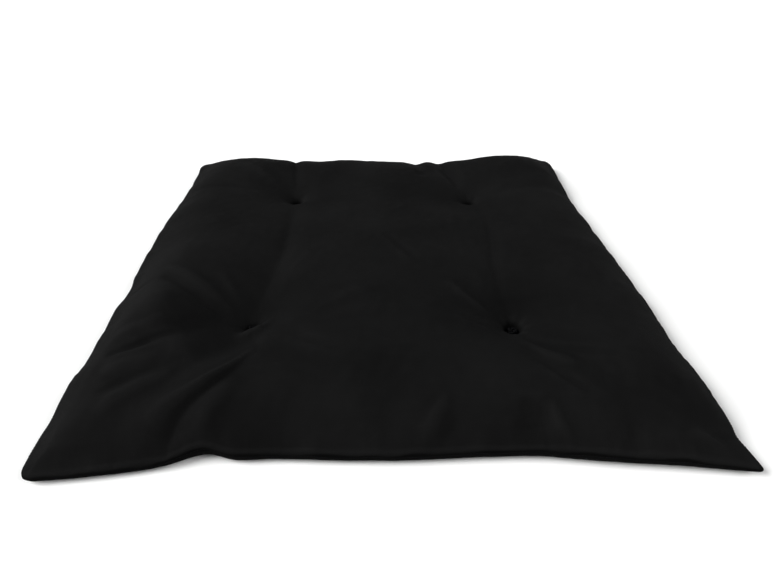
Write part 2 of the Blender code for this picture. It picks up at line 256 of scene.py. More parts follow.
FOLDS = (
    # Troughs between the tufts
    Fold(Crest.KEEN, (
        (-139, -240, 8, 0), (-145, -214, 9, -4), (-156, -190, 11, -7), (-162, -164, 12, -7),
        (-160, -137, 18, -8), (-151, -96, 28, -13), (-141, -37, 32, -13), (-138, 30, 30, -11),
        (-142, 110, 24, -7), (-146, 162, 12, 0),
    )),
    Fold(Crest.SOFT, ((-135, -168, 14, 0), (-60, -178, 26, -3), (60, -184, 26, -3), (140, -182, 14, 0))),
    Fold(Crest.SOFT, ((-120, 174, 14, 0), (-60, 178, 24, -2), (60, 176, 24, -1.5), (130, 170, 14, 0))),
    Fold(Crest.KEEN, (
        (160, -168, 8, 0), (157, -150, 11, -3), (153, -107, 16, -5), (157, -42, 18, -5), (165, 42, 17, -4),
        (162, 101, 14, -3), (152, 152, 8, 0),
    )),
    # The steep slope down to the front left tuft, from the hump on its left
    Fold(Crest.SOFT, (
        (-306, -40, 24, 0), (-298, -92, 24, 5), (-285, -135, 24, 6), (-266, -180, 22, 5),
        (-250, -225, 18, 0),
    )),
    Fold(Crest.SOFT, (
        (-165, -160, 16, 0), (-184, -160, 24, -7), (-210, -156, 28, -9), (-238, -144, 22, -4),
        (-264, -132, 16, 0),
    )),
    Fold(Crest.KEEN, (
        (-292, -92, 8, 0), (-272, -101, 9, -5), (-238, -128, 9, -6), (-208, -149, 8, -4),
        (-186, -160, 6, 0),
    )),
    Fold(Crest.SOFT, (
        (-296, -68, 10, 0), (-262, -87, 11, 5), (-227, -113, 11, 5), (-198, -137, 9, 3), (-178, -152, 6, 0),
    )),
    Fold(Crest.SOFT, ((-218, -80, 10, 0), (-201, -103, 9, 3), (-184, -130, 7, 2), (-173, -147, 6, 0))),
    Fold(Crest.KEEN, ((-365, -126, 12, -4), (-335, -114, 12, -3), (-310, -103, 10, -2), (-290, -95, 8, 0))),
    # The fan at the front left tuft, from the left side round to the front edge
    Fold(Crest.SOFT, ((-314, -210, 8, 0), (-296, -204, 9, 2.5), (-272, -196, 9, 2.5), (-252, -186, 8, 0))),
    Fold(Crest.KEEN, (
        (-307, -243, 9, 0), (-295, -236, 10, -5), (-279, -228, 11, -10), (-262, -219, 12, -11),
        (-246, -212, 12, -7), (-230, -207, 10, 0),
    )),
    Fold(Crest.SOFT, (
        (-268, -184, 16, 0), (-248, -206, 20, 5), (-229, -227, 20, 7), (-210, -247, 16, 5),
        (-194, -266, 12, 0),
    )),
    Fold(Crest.SOFT, (
        (-150, -192, 12, 0), (-165, -211, 18, -12), (-184, -231, 21, -12), (-204, -251, 21, -8),
        (-222, -268, 17, -3), (-236, -281, 14, 0),
    )),
    Fold(Crest.SOFT, ((-302, -266, 9, 0), (-281, -265, 10, 3.5), (-258, -255, 10, 3), (-238, -243, 8, 0))),
    Fold(Crest.KEEN, (
        (-297, -300, 6, 0), (-272, -287, 8, -4), (-250, -274, 9, -4), (-232, -262, 9, -2),
        (-216, -250, 8, 0),
    )),
    Fold(Crest.SOFT, (
        (-290, -320, 9, 0), (-267, -305, 10, 5), (-248, -291, 10, 5), (-232, -279, 10, 2),
        (-218, -268, 9, 0),
    )),
    Fold(Crest.SOFT, (
        (-149, -223, 4, 0), (-157, -248, 5, 4), (-172, -271, 6, 6), (-186, -287, 7, 7), (-202, -301, 9, 7),
        (-217, -312, 11, 6), (-229, -325, 13, 4), (-237, -341, 16, 2), (-240, -398, 16, 1),
    )),
    Fold(Crest.KEEN, (
        (-147, -232, 4, 0), (-158, -260, 6, -3), (-173, -285, 6, -4.5), (-188, -302, 7, -5.5),
        (-199, -314, 8, -6), (-206, -328, 9, -6.5), (-210, -346, 10, -7), (-214, -398, 11, -7),
    )),
    Fold(Crest.SOFT, (
        (-154, -275, 8, 0), (-166, -302, 11, 3), (-177, -324, 12, 5), (-184, -345, 13, 5.5),
        (-190, -364, 14, 5.5), (-194, -398, 14, 5),
    )),
    Fold(Crest.KEEN, (
        (-158, -325, 7, 0), (-159, -342, 8, -2), (-163, -360, 8, -6), (-167, -376, 9, -10),
        (-169, -398, 9, -11),
    )),
    # The full lobe at the front left corner
    Fold(Crest.SOFT, ((-262, -302, 28, 0), (-292, -330, 26, 5), (-320, -355, 20, 7), (-350, -384, 16, 8))),
    # Right of the front left tuft
    Fold(Crest.SOFT, (
        (-150, -192, 8, 0), (-120, -175, 11, 4), (-90, -160, 13, 4), (-50, -138, 14, 3), (-15, -120, 14, 0),
    )),
    Fold(Crest.KEEN, ((-105, -203, 6, 0), (-92, -212, 7, -2.5), (-70, -225, 7, -2.5), (-48, -240, 6, 0))),
    # Round the front right tuft
    Fold(Crest.KEEN, ((150, -184, 5, 0), (132, -190, 6, -2), (110, -182, 6, -2), (95, -175, 6, 0))),
    Fold(Crest.SOFT, ((142, -176, 6, 0), (123, -159, 8, 3), (98, -133, 9, 3), (84, -110, 8, 0))),
    Fold(Crest.KEEN, ((0, 8, 5, 0), (15, -12, 6, -2), (36, -50, 6, -2), (60, -82, 5, 0))),
    Fold(Crest.KEEN, (
        (164, -192, 5, 0), (172, -218, 6, -2.5), (190, -238, 8, -3.5), (214, -245, 8, -3),
        (247, -255, 7, -2), (264, -261, 6, 0),
    )),
    Fold(Crest.SOFT, ((162, -218, 6, 0), (174, -241, 7, 3), (192, -259, 9, 4), (212, -272, 9, 0))),
    Fold(Crest.KEEN, ((167, -252, 5, 0), (180, -270, 7, -2.5), (197, -294, 7, -2.5), (212, -310, 6, 0))),
    # Puckers along the front edge
    Fold(Crest.SOFT, (
        (70, -300, 7, 0), (63, -314, 8, 2), (52, -329, 9, 3), (42, -345, 9, 3), (33, -362, 9, 2),
        (28, -398, 9, 1),
    )),
    Fold(Crest.KEEN, (
        (78, -322, 6, 0), (71, -336, 7, -2), (60, -348, 8, -3.5), (48, -362, 8, -3.5), (40, -376, 8, -2.5),
        (36, -398, 8, -2),
    )),
    Fold(Crest.SOFT, (
        (149, -306, 16, 0), (148, -324, 22, -5), (142, -346, 28, -8), (135, -366, 30, -7),
        (131, -398, 26, -4),
    )),
    Fold(Crest.SOFT, (
        (168, -312, 8, 0), (172, -330, 9, 5), (177, -348, 10, 7), (183, -366, 10, 7), (187, -398, 10, 5),
    )),
    Fold(Crest.KEEN, ((251, -332, 7, 0), (247, -347, 9, -3), (243, -362, 10, -4), (240, -398, 10, -3))),
    # The hip at the front right corner
    Fold(Crest.SOFT, (
        (298, -343, 10, 0), (312, -353, 10, 4), (329, -363, 8, 5), (341, -371, 6, 3), (352, -378, 5, 0),
    )),
    Fold(Crest.KEEN, (
        (318, -347, 5, 0), (332, -348, 5, -2.5), (346, -346, 5, -3.5), (356, -343, 5, -3.5),
        (368, -339, 5, -3),
    )),
    # The fan at the back right tuft
    Fold(Crest.KEEN, ((108, 275, 6, 0), (119, 257, 8, -3), (132, 225, 8, -4), (145, 190, 6, 0))),
    Fold(Crest.KEEN, ((66, 262, 6, 0), (75, 247, 7, -3), (86, 232, 6, 0))),
    Fold(Crest.SOFT, (
        (146, 190, 9, 0), (138, 230, 13, -4), (125, 290, 15, -6), (113, 358, 15, -6), (110, 398, 15, -5),
    )),
    Fold(Crest.SOFT, ((105, 234, 10, 0), (90, 280, 14, -5), (72, 330, 15, -6), (58, 398, 15, -4))),
    Fold(Crest.SOFT, (
        (170, 170, 9, 0), (215, 172, 13, -2), (270, 182, 18, -2.5), (340, 198, 20, -2), (370, 204, 20, -1),
    )),
    # The fan at the back left tuft
    Fold(Crest.KEEN, (
        (-148, 190, 9, 0), (-152, 235, 13, -5), (-160, 300, 15, -7), (-169, 360, 15, -7),
        (-172, 398, 15, -6),
    )),
    Fold(Crest.KEEN, (
        (-165, 176, 9, 0), (-215, 186, 13, -4), (-275, 200, 18, -5), (-329, 214, 20, -4),
        (-390, 228, 20, -3),
    )),
    Fold(Crest.SOFT, ((-165, 196, 8, 0), (-200, 228, 14, 4), (-240, 260, 17, 5), (-265, 285, 17, 0))),
)

# The lip of cloth that rolls over the front left knot
LIP = Fold(Crest.SOFT, (
    (-137, -146, 10, 0), (-143, -162, 10, 5), (-151, -174, 10, 11), (-160, -181, 10, 10),
    (-168, -185, 9, 5), (-177, -189, 8, 0),
))

# How far past the pit's rim the lip starts, and the stretch over which it eases in, in millimetres
LIP_CLEARANCE = 0.5
LIP_EASE = 6.0


def linear_colour(code: str) -> tuple[float, float, float, float]:
    """Turns a screen colour into the linear one that shaders take.

    Args:
        code: The sRGB colour as #RRGGBB.

    Returns:
        Linear red, green, blue and an alpha of 1.
    """
    shares = [int(code[at : at + 2], 16) / 255 for at in (1, 3, 5)]
    red, green, blue = [c / 12.92 if c <= 0.04045 else ((c + 0.055) / 1.055) ** 2.4 for c in shares]
    return red, green, blue, 1.0


def add_node(tree: bpy.types.NodeTree, kind: str, inputs: dict, **settings: str) -> bpy.types.Node:
    """Adds a shader node with its settings, and fills or links its inputs.

    Args:
        tree: The node tree that gets the node.
        kind: The node's type name, without "ShaderNode".
        inputs: A plain value, or the output that feeds it, by input name or number.
        settings: The node's own properties by name.

    Returns:
        The new node.
    """
    node = tree.nodes.new("ShaderNode" + kind)
    for name, value in settings.items():
        setattr(node, name, value)
    for name, value in inputs.items():
        if isinstance(value, bpy.types.NodeSocket):
            tree.links.new(value, node.inputs[name])
        else:
            node.inputs[name].default_value = value
    return node


def smooth(share: np.ndarray) -> np.ndarray:
    """Clamps shares to 0 to 1 and eases them at both ends."""
    share = np.clip(share, 0, 1)
    return share * share * (3 - 2 * share)


def through_rows(rows: tuple[SeamPoint, ...], shares: np.ndarray) -> tuple[np.ndarray, np.ndarray]:
    """Reads a smooth curve through one side's rows.

    Args:
        rows: The side's rows in order.
        shares: Where along the side to read it, from -1 to 1.

    Returns:
        The insets and the heights there, in metres.
    """
    table = np.array(rows)
    knots, values = table[:, 0], table[:, 1:]
    before = np.maximum(np.arange(len(rows)) - 1, 0)
    after = np.minimum(np.arange(len(rows)) + 1, len(rows) - 1)
    slopes = (values[after] - values[before]) / (knots[after] - knots[before])[:, None]
    span = np.clip(np.searchsorted(knots, shares) - 1, 0, len(rows) - 2)
    width = (knots[span + 1] - knots[span])[:, None]
    t = np.clip((shares - knots[span])[:, None] / width, 0, 1)
    found = (
        (2 * t**3 - 3 * t**2 + 1) * values[span]
        + (t**3 - 2 * t**2 + t) * slopes[span] * width
        + (3 * t**2 - 2 * t**3) * values[span + 1]
        + (t**3 - t**2) * slopes[span + 1] * width
    )
    return found[:, 0] * MM, found[:, 1] * MM


def pushed_out(x: np.ndarray, y: np.ndarray, out: dict[Side, np.ndarray]) -> tuple[np.ndarray, np.ndarray]:
    """Moves places outwards.

    Args:
        x: Places across.
        y: Places along.
        out: How far each place moves towards each side.

    Returns:
        The moved x and y.
    """
    return x + out[Side.RIGHT] - out[Side.LEFT], y + out[Side.BACK] - out[Side.FRONT]


@dataclass(frozen=True)
class Ripple:
    """Even unrest made of crossing waves, laid out by a seed."""

    height: float
    shortest: float
    longest: float
    seed: int
    waves: int = 28
    fanned: bool = True

    def at(self, x: np.ndarray, y: np.ndarray) -> np.ndarray:
        """The rise at places on a panel.

        Args:
            x: Places across, in metres.
            y: Places along, in metres. Waves that aren't fanned run along x alone.

        Returns:
            The rise in metres.
        """
        pick = np.random.default_rng(self.seed)
        total = np.zeros_like(x)
        for _ in range(self.waves):
            turn, start = pick.uniform(0, math.tau, 2)
            length = pick.uniform(self.shortest, self.longest)
            place = x * math.cos(turn) + y * math.sin(turn) if self.fanned else x
            total += np.sin(math.tau * place / length + start)
        return self.height * total * math.sqrt(2 / self.waves)


@dataclass(frozen=True)
class PanelSpots:
    """Places on a flat panel, whose shares across and along run from -1 to 1."""

    u: np.ndarray
    v: np.ndarray
    wide: float
    deep: float

    @cached_property
    def inside(self) -> dict[Side, np.ndarray]:
        """Measures from each side, in metres."""
        return {
            Side.LEFT: (1 + self.u) * self.wide / 2,
            Side.RIGHT: (1 - self.u) * self.wide / 2,
            Side.FRONT: (1 + self.v) * self.deep / 2,
            Side.BACK: (1 - self.v) * self.deep / 2,
        }

    @cached_property
    def nearest(self) -> np.ndarray:
        """Measures from the nearest side, in metres."""
        return np.minimum.reduce(list(self.inside.values()))

    @cached_property
    def seams(self) -> dict[Side, tuple[np.ndarray, np.ndarray]]:
        """Reads the seam's insets and heights on each side, level with the places."""
        return {side: through_rows(SEAM[side], self.v if side in UPRIGHT else self.u) for side in Side}

    @cached_property
    def seam_height(self) -> np.ndarray:
        """Carries the seam's height inwards: the nearer a side is, the more it counts."""
        weights = {side: 1 / (self.inside[side] + 1e-6) ** 2 for side in Side}
        return sum(self.seams[side][1] * weights[side] for side in Side) / sum(weights.values())


@dataclass(frozen=True)
class PanelShape:
    """The filled mat's form, as points in space for places on its two flat panels."""

    wide: float = 0.715
    deep: float = 0.758
    crown_rise: float = 0.040
    edge_rounding: float = 0.130
    side_pull_reach: float = 0.090
    seam_hold: float = 0.025
    underside_curl: float = 0.013
    pit_reach: float = 0.0045
    dimple_radius: float = 0.034
    dimple_rise: float = 0.005
    lip: float = 0.0024
    lip_reach: float = 0.007
    pucker_reach: float = 0.011
    pucker_start: float = 0.003
    gather_rays: int = 7
    gather_sway: float = 1.3
    gather_height: float = 0.0004
    gather_start: float = 0.004
    gather_growth: float = 0.010
    gather_peak: float = 0.012
    gather_reach: float = 0.014
    wander_reach: float = 0.030
    corner_calm: float = 0.04
    batting: Ripple = Ripple(0.0009, 0.070, 0.120, 5)
    crumple: Ripple = Ripple(0.00010, 0.016, 0.030, 8)
    pucker: Ripple = Ripple(0.00032, 0.0085, 0.015, 11, 7, False)
    seam_wander: Ripple = Ripple(0.00055, 0.030, 0.090, 14, 6, False)

    def spots(self, u: np.ndarray, v: np.ndarray) -> PanelSpots:
        """Takes places on the flat panel, at shares across and along."""
        return PanelSpots(u, v, self.wide, self.deep)

    def plan(self, spots: PanelSpots) -> tuple[np.ndarray, np.ndarray]:
        """Places panel points between the corner tips, drawn in where the seam is and rounded at the tips.

        Args:
            spots: The places on the flat panel.

        Returns:
            x and y in metres.
        """
        x, y = np.zeros_like(spots.u), np.zeros_like(spots.v)
        for (across, along), tip in CORNER_TIPS.items():
            share = 1 + spots.u if across is Side.RIGHT else 1 - spots.u
            share = share * (1 + spots.v if along is Side.BACK else 1 - spots.v) / 4
            x += tip[0] * MM * share
            y += tip[1] * MM * share
        out = {
            side: -spots.seams[side][0] * np.exp(-inside / self.side_pull_reach)
            for side, inside in spots.inside.items()
        }
        x, y = pushed_out(x, y, out)
        for (across, along), radius in CORNER_ROUNDING.items():
            past_x = np.maximum(radius * MM - spots.inside[across], 0)
            past_y = np.maximum(radius * MM - spots.inside[along], 0)
            length = np.maximum(np.hypot(past_x, past_y), 1e-9)
            kept = np.where((past_x > 0) & (past_y > 0), np.maximum(past_x, past_y) / length, 1.0)
            x = x + past_x * (1 - kept) * (1 if across is Side.LEFT else -1)
            y = y + past_y * (1 - kept) * (1 if along is Side.FRONT else -1)
        return x, y

    def gathers(self, x: np.ndarray, y: np.ndarray) -> np.ndarray:
        """Short wrinkles that run out from each tuft, where its thread gathers the cloth.

        Args:
            x: Places across.
            y: Places along.

        Returns:
            The rise in metres.
        """
        total = np.zeros_like(x)
        for place, tuft in enumerate(TUFTS.values()):
            out_x, out_y = x - tuft.x * MM, y - tuft.y * MM
            out = np.hypot(out_x, out_y)
            turn = np.arctan2(out_y, out_x)
            rays = np.cos(
                (self.gather_rays + place % 2) * turn + self.gather_sway * np.sin(turn + place) + place
            )
            swell = np.clip((out - self.gather_start) / self.gather_growth, 0, 1)
            swell *= np.exp(-np.maximum(out - self.gather_peak, 0) / self.gather_reach)
            total += self.gather_height * rays * swell
        return total

    def drawn_to_tufts(
        self, x: np.ndarray, y: np.ndarray, height: np.ndarray, hold: np.ndarray
    ) -> np.ndarray:
        """Pulls the top panel down to each tuft's floor, as far as the seam lets it.

        Args:
            x: Places across.
            y: Places along.
            height: Heights before the tufts are tied.
            hold: How freely the panel moves, from 0 at the seam to 1.

        Returns:
            The heights once the tufts are tied.
        """
        for tuft in TUFTS.values():
            past_pit = np.maximum(np.hypot(x - tuft.x * MM, y - tuft.y * MM) - tuft.pit * MM, 0)
            bowl = tuft.share * np.exp(-past_pit / (tuft.reach * MM))
            pit = (1 - tuft.share) * np.exp(-past_pit / self.pit_reach)
            height = height + (tuft.floor * MM - height) * (bowl + pit) * hold
        return height

    def seam_unrest(self, spots: PanelSpots) -> np.ndarray:
        """How the seam wanders up and down, with the puckers that it sets off beside it.

        Args:
            spots: The places on the flat panel.

        Returns:
            The rise in metres.
        """
        wander, puckers = np.zeros_like(spots.u), np.zeros_like(spots.u)
        for turn, side in enumerate(Side):
            along = (spots.v * self.deep if side in UPRIGHT else spots.u * self.wide) / 2 + turn
            ends = [spots.inside[other] for other in Side if (other in UPRIGHT) != (side in UPRIGHT)]
            clear = smooth(np.minimum(*ends) / self.corner_calm)
            inside = spots.inside[side]
            wander += self.seam_wander.at(along, along) * clear * np.exp(-inside / self.wander_reach)
            near = np.exp(-inside / self.pucker_reach) * (1 - np.exp(-inside / self.pucker_start))
            puckers += self.pucker.at(along, along) * clear * near
        return wander + puckers

    def bulged(self, x: np.ndarray, y: np.ndarray, spots: PanelSpots) -> tuple[np.ndarray, np.ndarray]:
        """Swells the top panel outwards just inside its rim, so that the seam lies in a groove.

        Args:
            x: Places across.
            y: Places along.
            spots: The places on the flat panel.

        Returns:
            The swollen x and y.
        """
        most = self.lip * np.minimum(spots.nearest / self.lip_reach, 1)
        bulge = {
            side: most * np.sin(math.pi * np.minimum(inside / self.lip_reach, 1))
            for side, inside in spots.inside.items()
        }
        return pushed_out(x, y, bulge)

    def rolled_under(
        self, x: np.ndarray, y: np.ndarray, spots: PanelSpots
    ) -> tuple[np.ndarray, np.ndarray]:
        """Keeps the bottom panel out below the seam, so that it drops first and then rolls under.

        Args:
            x: Places across.
            y: Places along.
            spots: The places on the flat panel.

        Returns:
            The x and y of the rolled panel.
        """
        kept = {}
        for side, inside in spots.inside.items():
            share = np.minimum(inside / self.underside_curl, 1)
            most = self.underside_curl * (share - 1 + np.cos(math.pi / 2 * share))
            kept[side] = most * spots.nearest / np.maximum(inside, 1e-9)
        return pushed_out(x, y, kept)

    def top(self, u: np.ndarray, v: np.ndarray) -> np.ndarray:
        """The top panel's points.

        Args:
            u: Share across from -1 to 1.
            v: Share along from -1 to 1.

        Returns:
            One row of x, y and z for each point.
        """
        spots = self.spots(u, v)
        x, y = self.plan(spots)
        rounded = [
            1 - (1 - np.minimum(inside / self.edge_rounding, 1)) ** 3 for inside in spots.inside.values()
        ]
        hold = np.minimum(spots.nearest / self.seam_hold, 1)
        soft = (self.crown_rise + sum(lump.at(x, y) for lump in LUMPS)) * np.prod(rounded, axis=0)
        soft += sum(fold.at(x, y) for fold in FOLDS) * hold
        soft += (self.batting.at(x, y) + self.crumple.at(x, y)) * hold
        z = self.drawn_to_tufts(x, y, spots.seam_height + soft, hold)
        lipped = TUFTS["tuft_front_left"]
        clear = np.hypot(x - lipped.x * MM, y - lipped.y * MM) - (lipped.pit + LIP_CLEARANCE) * MM
        z += self.gathers(x, y) + self.seam_unrest(spots) + LIP.at(x, y) * smooth(clear / (LIP_EASE * MM))
        x, y = self.bulged(x, y, spots)
        return np.column_stack((x, y, z))

    def bottom(self, u: np.ndarray, v: np.ndarray) -> np.ndarray:
        """The bottom panel's points: flat on the floor, curled up to the seam at its rim.

        Args:
            u: Share across from -1 to 1.
            v: Share along from -1 to 1.

        Returns:
            One row of x, y and z for each point.
        """
        spots = self.spots(u, v)
        x, y = self.rolled_under(*self.plan(spots), spots)
        share = np.minimum(spots.nearest / self.underside_curl, 1)
        z = (spots.seam_height + self.seam_unrest(spots)) * (1 - np.sin(math.pi / 2 * share))
        for tuft in TUFTS.values():
            out = np.hypot(x - tuft.x * MM, y - tuft.y * MM) / self.dimple_radius
            z += self.dimple_rise * (1 - np.minimum(out, 1) ** 2) ** 2
        return np.column_stack((x, y, z))


@dataclass(frozen=True)
class GridLines:
    """Where a panel's grid lines run: closer together at the seam and across the tufts."""

    rim_gain: float = 3.0
    rim_reach: float = 0.05
    tuft_gain: float = 0.8
    tuft_reach: float = 0.09
    tuft_share: float = 0.45

    def placed(self, shares: np.ndarray) -> np.ndarray:
        """Moves grid lines to where the panel needs them.

        Args:
            shares: Evenly spaced shares from -1 to 1.

        Returns:
            The share that each line runs at.
        """
        at = np.linspace(-1, 1, 4001)
        density = 1 + self.rim_gain * np.exp(-(1 - np.abs(at)) / self.rim_reach)
        density += self.tuft_gain * np.exp(-(((np.abs(at) - self.tuft_share) / self.tuft_reach) ** 2))
        total = np.concatenate(([0], np.cumsum((density[1:] + density[:-1]) / 2)))
        return np.interp(shares, 2 * total / total[-1] - 1, at)


@dataclass(frozen=True)
class CaseCloth:
    """Lets the top panel settle as cloth: cut larger than the form, it wrinkles between seam and tufts."""

    shape: PanelShape
    columns: int = 118
    rows: int = 122
    cut: float = 1.040
    frames: int = 24
    pressure: float = 4.0
    quality: int = 7
    point_mass: float = 0.12
    stretch_stiffness: float = 22.0
    shear_stiffness: float = 8.0
    bending_stiffness: float = 1.2
    air_damping: float = 4.0
    free_weight: float = 0.10
    seam_ease: float = 0.020
    held_reach: float = 0.010
    held_ease: float = 0.012
    largest_move: float = 0.006

    def sheet(self) -> tuple[bpy.types.Object, np.ndarray]:
        """Makes the flat sheet in the form's shape.

        Returns:
            The sheet and the (u, v) of each of its points.
        """
        mesh = bmesh.new()
        bmesh.ops.create_grid(mesh, x_segments=self.columns, y_segments=self.rows, size=1.0)
        data = bpy.data.meshes.new("settling_sheet")
        mesh.to_mesh(data)
        mesh.free()
        flat = np.empty(len(data.vertices) * 3)
        data.vertices.foreach_get("co", flat)
        flat = flat.reshape(-1, 3)
        data.vertices.foreach_set("co", self.shape.top(flat[:, 0], flat[:, 1]).ravel())
        sheet = bpy.data.objects.new("settling_sheet", data)
        bpy.context.scene.collection.objects.link(sheet)
        return sheet, flat[:, :2]

    def hold(self, sheet: bpy.types.Object, spots: np.ndarray, start: np.ndarray) -> None:
        """Pins the seam and the tufts, and ties the rest loosely to the form.

        Args:
            sheet: The sheet to pin.
            spots: The (u, v) of its points.
            start: Its points in space.
        """
        free = smooth(self.shape.spots(spots[:, 0], spots[:, 1]).nearest / self.seam_ease)
        for tuft in TUFTS.values():
            out = np.hypot(start[:, 0] - tuft.x * MM, start[:, 1] - tuft.y * MM)
            free *= smooth((out - self.held_reach) / self.held_ease)
        group = sheet.vertex_groups.new(name="held")
        for at, weight in enumerate(1 - free * (1 - self.free_weight)):
            group.add([at], float(weight), "REPLACE")

    def moves(self) -> np.ndarray:
        """Runs the cloth and measures where it went.

        Returns:
            The move of each point of an even grid, with rows along v, columns along u and x, y, z last.
        """
        sheet, spots = self.sheet()
        start = self.shape.top(spots[:, 0], spots[:, 1])
        self.hold(sheet, spots, start)
        sheet.shape_key_add(name="filled")
        cut = sheet.shape_key_add(name="cut")
        half = np.array([self.shape.wide, self.shape.deep]) / 2 * self.cut
        cut.data.foreach_set("co", np.column_stack((spots * half, np.zeros(len(spots)))).ravel())
        cloth = sheet.modifiers.new("Cloth", "CLOTH")
        settings = cloth.settings
        settings.quality = self.quality
        settings.mass = self.point_mass
        settings.tension_stiffness = settings.compression_stiffness = self.stretch_stiffness
        settings.shear_stiffness = self.shear_stiffness
        settings.bending_stiffness = self.bending_stiffness
        settings.air_damping = self.air_damping
        settings.effector_weights.gravity = 0.0
        settings.use_pressure = True
        settings.uniform_pressure_force = self.pressure
        settings.vertex_group_mass = "held"
        settings.pin_stiffness = 1.0
        settings.rest_shape_key = cut
        cloth.collision_settings.use_collision = False
        scene = bpy.context.scene
        cloth.point_cache.frame_start, cloth.point_cache.frame_end = 1, self.frames
        for frame in range(1, self.frames + 1):
            scene.frame_set(frame)
        settled = sheet.evaluated_get(bpy.context.evaluated_depsgraph_get()).to_mesh()
        ended = np.empty(len(spots) * 3)
        settled.vertices.foreach_get("co", ended)
        moved = ended.reshape(-1, 3) - start
        order = np.lexsort((spots[:, 0], spots[:, 1]))
        grid = moved[order].reshape(self.rows + 1, self.columns + 1, 3)
        bpy.data.objects.remove(sheet)
        scene.frame_set(1)
        return self.calmed(grid)

    def calmed(self, grid: np.ndarray) -> np.ndarray:
        """Takes out wrinkles as fine as the grid, and caps how far a point may move.

        Args:
            grid: The moves as the cloth made them.

        Returns:
            The smoothed and capped moves.
        """
        for axis in (0, 1):
            padded = np.concatenate((grid.take([0], axis), grid, grid.take([-1], axis)), axis)
            count = grid.shape[axis]
            grid = (
                padded.take(range(count), axis) + 2 * padded.take(range(1, count + 1), axis)
                + padded.take(range(2, count + 2), axis)
            ) / 4
        length = np.linalg.norm(grid, axis=2, keepdims=True)
        kept = self.largest_move * np.tanh(length / self.largest_move) / np.maximum(length, 1e-9)
        LOG.info("the cloth moved %.1f mm at most", length.max() / MM)
        return grid * kept

    def read(self, grid: np.ndarray, u: np.ndarray, v: np.ndarray) -> np.ndarray:
        """Reads the moves between the grid's points, along smooth curves.

        Args:
            grid: The moves, as moves() returns them.
            u: Share across.
            v: Share along.

        Returns:
            One row of x, y and z for each place.
        """
        taps = []
        for share, count in ((v, self.rows), (u, self.columns)):
            place = (share + 1) / 2 * count
            first = np.clip(np.floor(place).astype(int), 0, count - 1)
            t = place - first
            weights = (
                (-t + 2 * t**2 - t**3) / 2,
                (2 - 5 * t**2 + 3 * t**3) / 2,
                (t + 4 * t**2 - 3 * t**3) / 2,
                (t**3 - t**2) / 2,
            )
            lines = [np.clip(first + step, 0, count) for step in (-1, 0, 1, 2)]
            taps.append(list(zip(lines, weights)))
        total = np.zeros((len(u), 3))
        for row, row_weight in taps[0]:
            for column, column_weight in taps[1]:
                total += grid[row, column] * (row_weight * column_weight)[:, None]
        return total


